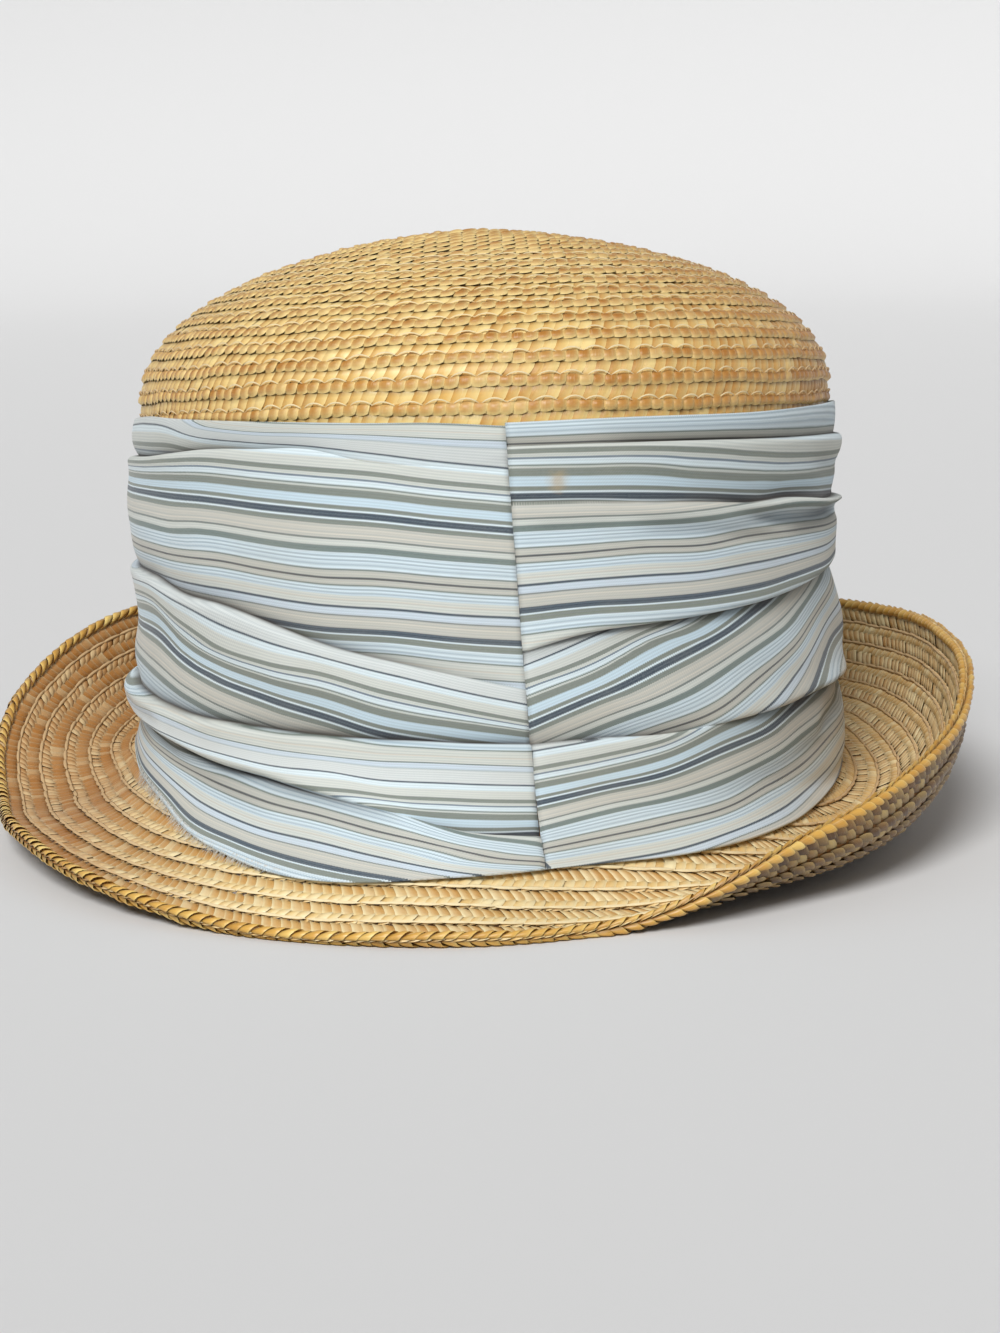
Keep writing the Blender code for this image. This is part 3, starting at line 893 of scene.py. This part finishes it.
# How far the cloth stands out at each fold, and over how many millimetres: above 0 the lower
# layer lies on top, below 0 the upper one does
foldDepths = (
    ((5, 0.2, 5), (18, 0.3, 6), (26, 0.9, 6), (85, 0.8, 6), (180, 1.0, 8), (275, 1.3, 6),
     (320, 0.8, 6), (345, 0.1, 8), (365, 0.0, 8)),
    ((5, 0.2, 6), (25, 0.4, 6), (36, 0.9, 4), (50, 1.5, 3.0), (75, 1.5, 3.0), (90, 1.2, 3.5),
     (110, 1.2, 5), (180, 1.1, 8), (275, 1.2, 6), (310, 1.3, 6), (340, 0.9, 6), (355, 0.4, 8),
     (365, 0.1, 8)),
    ((5, -0.4, 5), (15, -0.9, 6), (85, -1.0, 6), (135, -0.6, 8), (160, 0.5, 8), (275, 1.3, 7),
     (365, 1.1, 6)),
    ((5, 0.8, 6), (25, 0.7, 6), (38, -0.4, 6), (52, -1.3, 5), (85, -1.6, 4), (150, -1.2, 8),
     (275, -2.0, 5), (300, -1.8, 5), (322, -1.4, 6), (340, -0.6, 8), (352, 0.4, 8), (365, 0.7, 6)),
)

# Puffs of the cloth: azimuth, height, half width round the hat and down the cloth, rise
bandPuffs = (
    (91, 0.415, 11, 0.0085, 0.0026),
    (271, 0.325, 11, 0.0070, 0.0022),
    (90, 0.865, 14, 0.0060, 0.0012),
    (283, 0.73, 24, 0.0200, 0.0018),
    (283, 0.245, 14, 0.0035, 0.0010),
    (88, 0.10, 14, 0.0100, 0.0008),
)

# Soft creases: from azimuth and height to azimuth and height, half width and depth in metres
bandCreases = (
    (7, 0.752, 22, 0.738, 0.0010, 0.0005),
    (20, 0.738, 55, 0.700, 0.0016, 0.0011),
    (52, 0.702, 84, 0.735, 0.0022, 0.0009),
    (38, 0.752, 92, 0.714, 0.0014, 0.0024),
    (30, 0.12, 80, 0.235, 0.0018, 0.0007),
    (290, 0.16, 330, 0.125, 0.0016, 0.0006),
    (60, 0.23, 88, 0.245, 0.0030, 0.0012),
    (278, 0.215, 300, 0.225, 0.0020, 0.0008),
    (282, 0.50, 350, 0.36, 0.0030, 0.0003),
    (60, 0.86, 100, 0.83, 0.0022, 0.0007),
    (100, 0.60, 170, 0.52, 0.0030, 0.0010),
    (120, 0.36, 200, 0.30, 0.0030, 0.0009),
    (190, 0.80, 262, 0.77, 0.0030, 0.0008),
    (205, 0.47, 270, 0.42, 0.0030, 0.0009),
)

# start is the azimuth at the seam where the tables above begin, and length the cloth's own
band = {
    "start": 5,
    "length": 0.60,
    "around": 500,
    "rowsOfLayer": 19,
    "seamTop": 3.5,
    "seamBottom": 6.5,
    "base": 0.0015,
    "lap": 0.0012,
    "edge": 0.0009,
    "crest": 0.0008,
    "tuck": 0.0012,
    "tuckReach": 0.0030,
    "belly": 0.0005,
    "seamTuck": 0.0005,
    "seamReach": 0.0007,
    "seamShade": (0.25, 0.00035),
    "stitch": 0.0042,
    "pucker": 0.00022,
    "puckerReach": 0.0030,
    "foldShade": ((0.65, 0.0011), (0.22, 0.005)),
    "creaseShade": 260,
    "deepestShade": 0.6,
    "lining": 0.0009,
    "hem": ((0.0002, 0.0), (0.0005, 0.5), (0.0002, 0.9), (-0.004, 1.0)),
    "hemCloth": 0.0008,
    "repeat": 240.0,
    "ripple": 0.00022,
    "ripples": 14,
    "seed": 3,
}


def edgeRise(distance, reach, depth):
    # the rounded edge of a folded layer, then its slow fall away from the fold
    near = np.clip(distance / (band["edge"] * (0.7 + 0.8 * np.clip(depth, 0, 2))), 0, 1)
    return np.sqrt(1 - (1 - near)**2) * np.exp(-np.maximum(distance - band["crest"], 0) / reach)


def creases(azimuths, heights, run):
    # how far the soft creases lift the cloth, and how much painted shade they put on it
    lift, shade = np.zeros_like(heights), np.zeros_like(heights)
    for start, low, end, high, half, depth in bandCreases:
        along = (azimuths - start) / (end - start)
        ends = smoothStep(along * 4) * smoothStep((1 - along) * 4)
        across = (heights - (low + (high - low) * np.clip(along, 0, 1))) * run / half
        groove = ends * np.exp(-across**2)
        lift += depth * (0.5 * ends * np.exp(-(across - 2.2)**2) - groove)
        shade += min(depth * band["creaseShade"], band["deepestShade"]) * groove
    return lift, shade


def puffLift(azimuths, heights, run):
    return sum(rise * np.exp(-((azimuths - place) / half)**2
                             - ((heights - height) * run / down)**2)
               for place, height, half, down, rise in bandPuffs)


def bandRipples(azimuths, heights):
    # slight waves of the cloth, long along the stripes and short across them
    random = np.random.default_rng(band["seed"])
    total = np.zeros_like(heights)
    for _ in range(band["ripples"]):
        turns, down, phase = random.uniform(2, 9), random.uniform(6, 26), random.uniform(0, 7)
        total += np.sin(np.radians(azimuths) * turns + heights * down * 2 + phase)
    return total * band["ripple"] / band["ripples"]**0.5


def seamAzimuth(heights):
    # the seam leans to the right on its way down
    return band["seamTop"] + (band["seamBottom"] - band["seamTop"]) * np.clip(1 - heights, 0, 1)


def layerHeights(layer, places):
    rows = np.array(layer, float)
    rows[:, 1::2] /= 1000
    return [alongTable(rows, places, column) for column in (1, 3, 5, 7)]


def bandRows():
    # every row of the cloth from the top edge down: azimuth, height, lift, cloth, layer, and the
    # painted shade in its creases
    places = np.linspace(band["start"], band["start"] + 360, band["around"] + 1)[:, None]
    share = 0.5 - 0.5 * np.cos(np.linspace(0, math.pi, band["rowsOfLayer"] + 1))[None, :]
    run = sum(bandRun(places))
    found = []
    for index, layer in enumerate(bandLayers):
        heights = layerHeights(layer, places)
        cloths = [alongTable(layer, places, column) for column in (2, 4, 6, 8)]
        height = heights[0] + (heights[3] - heights[0]) * share
        cloth = cloths[0]
        for upper, lower in ((0, 1), (1, 2), (2, 3)):
            way = (heights[upper] - height) / (heights[upper] - heights[lower])
            cloth = cloth + (cloths[lower] - cloths[upper]) * np.clip(way, 0, 1)
        fromTop, fromBottom = (heights[0] - height) * run, (height - heights[3]) * run
        lift = band["base"] + band["belly"] * np.sin(math.pi * share)**0.8 * (
            0.6 + 0.4 * np.sin(np.radians(places) * 3 + index * 2.1))
        shadeInCreases = 0 * height
        # a fold lifts the layer on its upper side, and tucks the one under it and paints shade on
        # it
        for number, distance, side in ((index - 1, fromTop, 1), (index, fromBottom, -1)):
            if not 0 <= number < len(foldDepths):
                continue
            depth = alongTable(foldDepths[number], places, 1) * side
            reach = alongTable(foldDepths[number], places, 2) / 1000
            tuck = np.exp(-distance / band["tuckReach"])
            close = sum(size * np.exp(-distance / over) for size, over in band["foldShade"])
            lift = lift + band["lap"] * np.maximum(depth, 0) * edgeRise(distance, reach, depth)
            lift = lift - band["tuck"] * np.clip(-depth, 0, 1.3) * tuck
            shadeInCreases = shadeInCreases + np.clip(-depth, 0, 1.6)**0.7 * close
        found.append((places + 0 * height, height, lift, cloth, index + 0 * height, shadeInCreases))
    return [np.concatenate(items, axis=1) for items in zip(*found)], run


def hemCloth(heights, cloth, run, edge, nextRow, steps):
    # the stripes run on over the hem as they do beside it
    slope = (cloth[:, edge] - cloth[:, nextRow]) / (heights[:, edge] - heights[:, nextRow])
    return cloth[:, edge, None] + np.abs(slope[:, None] / run) * band["hemCloth"] * steps


def makeBand():
    (places, heights, lift, cloth, layer, shadeInCreases), run = bandRows()
    creased, shaded = creases(places, heights, run)
    fromSeam = places - band["start"]
    toSeam = np.radians(np.minimum(fromSeam, 360 - fromSeam)) * halfLength
    pucker = (np.sin(heights * run / band["stitch"] * 2 * math.pi)
              * np.exp(-toSeam / band["puckerReach"]))
    lift = (lift + creased + bandRipples(places, heights) + puffLift(places, heights, run)
            - band["seamTuck"] * np.exp(-(toSeam / band["seamReach"])**2)
            + band["pucker"] * pucker)
    # painted shade along the seam joins the painted shade by the folds and creases
    seamShade, seamWidth = band["seamShade"]
    shadeInCreases = np.clip(shadeInCreases + shaded + seamShade * np.exp(-(toSeam / seamWidth)**2), 0, 1)
    azimuths = seamAzimuth(heights) + fromSeam

    # the hems turn in behind the top and bottom edges
    count = len(band["hem"])
    hems = []
    for edge, side in ((slice(0, 1), 1), (slice(-1, None), -1)):
        rows = [bandSpot(azimuths[:, edge], heights[:, edge] + side * out / run,
                         lift[:, edge] * (1 - inward) + band["lining"] * inward)
                for out, inward in band["hem"]]
        hems.append(np.concatenate(rows[::side * -1], axis=1))
    points = np.concatenate((hems[0], bandSpot(azimuths, heights, lift), hems[1]), axis=1)
    steps = (np.arange(count) + 1) / count
    cloth = np.concatenate((hemCloth(heights, cloth, run, 0, 1, -steps[::-1]), cloth,
                            hemCloth(heights, cloth, run, -1, -2, steps)), axis=1)
    layer, shadeInCreases, along = (
        np.concatenate([values[:, :1]] * count + [values] + [values[:, -1:]] * count, axis=1)
        for values in (layer, shadeInCreases, fromSeam / 360 * band["length"]))

    # where a face joins two layers it takes the cloth of the lower one
    quads = gridQuads(points.shape[0] - 1, points.shape[1] - 1)
    clothAt, layerAt, alongAt = (values.ravel()[quads] for values in (cloth, layer, along))
    lower = layerAt == layerAt.max(axis=1, keepdims=True)
    lowest = np.nanmean(np.where(lower, clothAt, np.nan), axis=1, keepdims=True)
    clothAt = np.where(lower, clothAt, lowest) / band["repeat"]
    uv = np.stack((alongAt.ravel(), clothAt.ravel()), axis=-1)
    return makePiece("striped_band", points, quads, clothFinish(), {"shadeInCreases": shadeInCreases}, uv)


# One repeat of the stripes: the colour of each kind, and where they start, in 240 parts
stripes = {
    "thinGreen": ("6f7c73", 0, 58, 138, 153.2, 224),
    "lavender": ("d6e3ee", 1.4, 177.6),
    "faint": ("a3b1b4", 7.5),
    "blush": ("dfe4e2", 8.6),
    "thinNavy": ("303f4e", 24.0, 175.1),
    "white": ("e6f4f9", 26.2, 52.7, 81, 89.4, 204.8),
    "cream": ("dbded6", 33, 47.8, 59.4, 110.2, 164, 169.5, 225.6, 233.5),
    "sage": ("80867a", 42.6, 61.4, 77.2, 91.0, 206.6),
    "greyBlue": ("67798a", 51),
    "blue": ("d3e9f5", 68.8),
    "navy": ("2c3b4c", 83.2, 199.0),
    "taupe": ("747a72", 108.5, 185),
    "leaf": ("717f78", 116.2),
    "brown": ("423f3c", 145.6),
    "beige": ("cdcbc0", 95.9, 101, 105.8, 139.6, 148, 186.3, 192.5),
    "warm": ("dcd6c8", 99.5, 104.5, 168, 190.5, 232),
    "ribLight": ("e0eff6", 122.5, 126.5, 130.5, 134.5, 154.7, 158.5, 162.5, 213, 217.5, 222.5),
    "ribShade": ("aec2ce", 125, 129, 133, 157, 161, 216, 221),
}
stripeStarts = sorted((start, paint(code)) for code, *starts in stripes.values()
                      for start in starts)
# A ramp holds at most 32 stripes, so the repeat is three of them
stripeParts = ((0, 122.5), (122.5, 186), (186, 240))


def stripeRamp(finish, place, low, high):
    # the stripes of a part of the repeat, as one ramp
    inside = [(max(start, low), colour) for (start, colour), (end, _) in zip(
        stripeStarts, [*stripeStarts[1:], (math.inf, None)]) if start < high and end > low]
    made = finish.tree.nodes.new("ShaderNodeValToRGB")
    made.color_ramp.interpolation = "CONSTANT"
    elements = made.color_ramp.elements
    while len(elements) < len(inside):
        elements.new(1.0)
    for element, (start, colour) in zip(elements, inside):
        element.position = (start - low) / (high - low)
        element.color = colour
    plug(finish.tree, made.inputs["Fac"], (place - low) / (high - low))
    return Value(finish.tree, made.outputs["Color"])


# The weave, in counts along the cloth's length and in one repeat down, its tints, and the
# dark brown of the painted shade in the creases
weave = {
    "threads": 1600.0, "tooth": 2.2, "wander": 0.004, "ribs": 84.0, "twill": 1500.0,
    "ribShare": 0.22, "twillShare": 0.16, "shade": "86949a", "grainShare": 0.3,
    "grain": "d3d8d6", "softShare": 0.10, "soft": "b4ae9c", "creaseShadeShare": 0.9,
    "shadeInCreases": "352a20", "bump": 0.35, "depth": 0.00012,
}
stain = {
    "azimuth": 11.0, "height": 0.847, "lift": 0.0026, "edge": (0.0006, 0.0034),
    "uneven": 0.003, "share": 0.6, "colour": "c4a676",
}


def stainShare(finish):
    # the faint stain right of the seam
    middle = toWorld(bandSpot(
        np.array([stain["azimuth"]]), np.array([stain["height"]]), stain["lift"]))[0]
    far = finish.node("ShaderNodeVectorMath", {"operation": "DISTANCE"}, {
        0: finish.node("ShaderNodeTexCoord", output="Object"), 1: tuple(middle)}, output="Value")
    blot = finish.noise(finish.place(), 420.0, 3.0) - 0.5
    return ((1.0 - (far + blot * stain["uneven"]).ramp(*stain["edge"])) * stain["share"]).held()


def clothFinish():
    finish = Finish("striped_cloth")
    along, down, _ = finish.axes(finish.node("ShaderNodeTexCoord", output="UV"))
    threads = (along * weave["threads"]).part()
    tooth = ((threads - 0.5).maths("ABSOLUTE") - 0.25) * weave["tooth"]
    wander = finish.noise(finish.joined(along * 60.0, down * 6.0), 1.0) - 0.5
    place = (down + wander * weave["wander"]).part() * band["repeat"] + tooth
    first, *others = stripeParts
    colour = stripeRamp(finish, place, *first)
    for low, high in others:
        colour = finish.mix(place > low, colour, stripeRamp(finish, place, low, high))
    grain = finish.noise(finish.joined(along * 1400.0, down * 260.0), 1.0)
    soft = finish.noise(finish.place(), 55.0)
    ribs = (down * (2 * math.pi * weave["ribs"])).maths("SINE") * 0.5 + 0.5
    twill = ((down * weave["ribs"] + along * weave["twill"]) * (2 * math.pi)).maths("SINE")
    twill = twill * 0.5 + 0.5
    colour = finish.layered(
        colour, (ribs * weave["ribShare"] + twill * weave["twillShare"], weave["shade"]),
        ((grain - 0.35).held() * weave["grainShare"], weave["grain"]),
        (soft.ramp(0.45, 0.75) * weave["softShare"], weave["soft"]),
        (stainShare(finish), stain["colour"]),
        # painted shade: dark brown by the folds, in the creases and along the seam
        ((finish.attribute("shadeInCreases") * weave["creaseShadeShare"]).held(), weave["shadeInCreases"]))
    height = twill * 0.6 + ribs * 0.5 + grain * 0.5
    return finish.set(colour=colour, roughness=0.82, sheen=0.2, sheenRoughness=0.5, specular=0.25,
                      normal=finish.bump(height, weave["bump"], weave["depth"]))


bandFringe = {
    "from": 290, "to": 333, "spacing": 0.00022, "length": 0.0027, "radius": 0.00006,
    "under": 0.0008, "lift": 0.0017, "fall": 0.0005, "spread": 0.0002, "pieces": 4, "sides": 3,
    "light": "e6e4dc", "dark": "b7b6ae", "seed": 8,
}


def makeFringe():
    # loose ends of thread along the raw lower edge at the left
    form = bandFringe
    random = np.random.default_rng(form["seed"])
    count = int(math.radians(form["to"] - form["from"]) * (halfLength + 0.004) / form["spacing"])
    start = np.linspace(form["from"], form["to"], count)[:, None, None]
    loose = random.normal(0, 1, (4, count, 1, 1))
    along, turn, pattern = threadGrid(form)
    places = start + (0.25 * loose[0] + 0.3 * loose[1] * along**2)
    ends = smoothStep((start - form["from"]) / 4) * smoothStep((form["to"] - start) / 8)
    length = form["length"] * (0.75 + 0.2 * loose[2]) * (0.3 + 0.7 * ends)
    radius = form["radius"] * (1 - 0.6 * along)
    way = form["under"] - along * (length + form["under"])
    heights = layerHeights(bandLayers[-1], places)[-1] + way / sum(bandRun(places))
    lift = (form["lift"] - form["fall"] * along + form["spread"] * loose[3] * along
            + radius * np.sin(turn))
    aside = np.degrees(radius * np.cos(turn) / halfLength)
    points = bandSpot(seamAzimuth(heights) + places - band["start"] + aside, heights, lift)
    finish = Finish("raw_thread")
    shade = finish.noise(finish.place(), 900.0)
    colour = finish.mix(shade, form["light"], form["dark"])
    return makePiece("band_fringe", points, repeated(pattern, count),
                     finish.set(colour=colour, roughness=0.8))


stripedBand = makeBand()
fringe = makeFringe()
print("band: triangles", 2 * len(stripedBand.data.polygons))

# The studio: a key light, the sky's share, and a round bowl, flat under the hat and curving up
# far outside of it
light = {
    "key": 2.72,
    "keyColour": "ffffff",
    "keyFrom": -17,
    "keyRise": 43,
    "keySpread": 26,
    "sky": 0.31,
    "skyColour": "fbfbfb",
}
bowl = {
    "colour": "dfdfdf", "wallColour": "c9c9c9", "wallFrom": 0.5, "hub": 0.05, "flat": 1.75,
    "curve": 0.9, "rise": 1.4, "below": 0.0003, "rings": 7, "steps": 16, "around": 96,
}


def makeFloor():
    angles = np.linspace(0, math.pi / 2, bowl["steps"] + 1)
    reach = np.concatenate((np.linspace(bowl["hub"], bowl["flat"], bowl["rings"] + 1)[:-1],
                            bowl["flat"] + bowl["curve"] * np.sin(angles),
                            (bowl["flat"] + bowl["curve"],)))
    height = np.concatenate((np.zeros(bowl["rings"]), bowl["curve"] * (1 - np.cos(angles)),
                             (bowl["rise"],))) - bowl["below"]
    turn = np.linspace(0, 2 * math.pi, bowl["around"], endpoint=False)[:, None]
    corners = np.stack((reach * np.cos(turn), reach * np.sin(turn), height + 0 * turn), axis=-1)
    corners = [*corners.reshape(-1, 3).tolist(), (0, 0, -bowl["below"])]
    rings = len(reach)
    faces = gridQuads(bowl["around"], rings - 1, closed=True)[:, ::-1].tolist()
    faces += [(len(corners) - 1, index * rings, (index + 1) % bowl["around"] * rings)
              for index in range(bowl["around"])]
    data = bpy.data.meshes.new("floor")
    data.from_pydata(corners, [], faces)
    data.shade_smooth()
    finish = Finish("pale_floor")
    rise = finish.axes(finish.place())[2].ramp(0.0, bowl["wallFrom"])
    colour = finish.mix(rise, bowl["colour"], bowl["wallColour"])
    data.materials.append(finish.set(colour=colour, roughness=0.9, specular=0.1))
    placed("floor", data)


def makeLight():
    lamp = bpy.data.lights.new("key", "SUN")
    lamp.angle = math.radians(light["keySpread"])
    lamp.energy = light["key"]
    lamp.color = paint(light["keyColour"])[:3]
    item = placed("key", lamp)
    turn, rise = math.radians(light["keyFrom"]), math.radians(light["keyRise"])
    item.rotation_euler = Vector((
        math.sin(turn) * math.cos(rise), -math.cos(turn) * math.cos(rise), math.sin(rise))
    ).to_track_quat("Z", "Y").to_euler()
    world = bpy.data.worlds.new("studio")
    world.use_nodes = True
    backdrop = world.node_tree.nodes["Background"]
    backdrop.inputs["Color"].default_value = paint(light["skyColour"])
    backdrop.inputs["Strength"].default_value = light["sky"]
    bpy.context.scene.world = world
    bpy.context.scene.view_settings.view_transform = "Standard"


def camera():
    view = {"place": (0.0025, -0.75, 0.087), "down": 4.63, "roll": 2.0, "lens": 109.44}
    data = bpy.data.cameras.new("camera")
    data.sensor_fit = "HORIZONTAL"
    data.sensor_width = 36
    data.lens = view["lens"]
    item = placed("camera", data)
    item.matrix_world = (standMatrix @ Matrix.Translation(view["place"])
                         @ Matrix.Rotation(math.radians(90 - view["down"]), 4, "X")
                         @ Matrix.Rotation(math.radians(-view["roll"]), 4, "Z"))
    bpy.context.scene.camera = item


makeFloor()
makeLight()
camera()
for piece in (crownPlait, crownStitches, crownWall):
    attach(piece, "root")
for piece in (brimPlait, brimStitches, brimUnder, rimRope, brimCore):
    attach(piece, "root")
for piece in (stripedBand, fringe):
    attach(piece, "root")
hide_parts("band")
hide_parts("crown")
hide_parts("brim")
bpy.context.view_layer.update()
print("done")
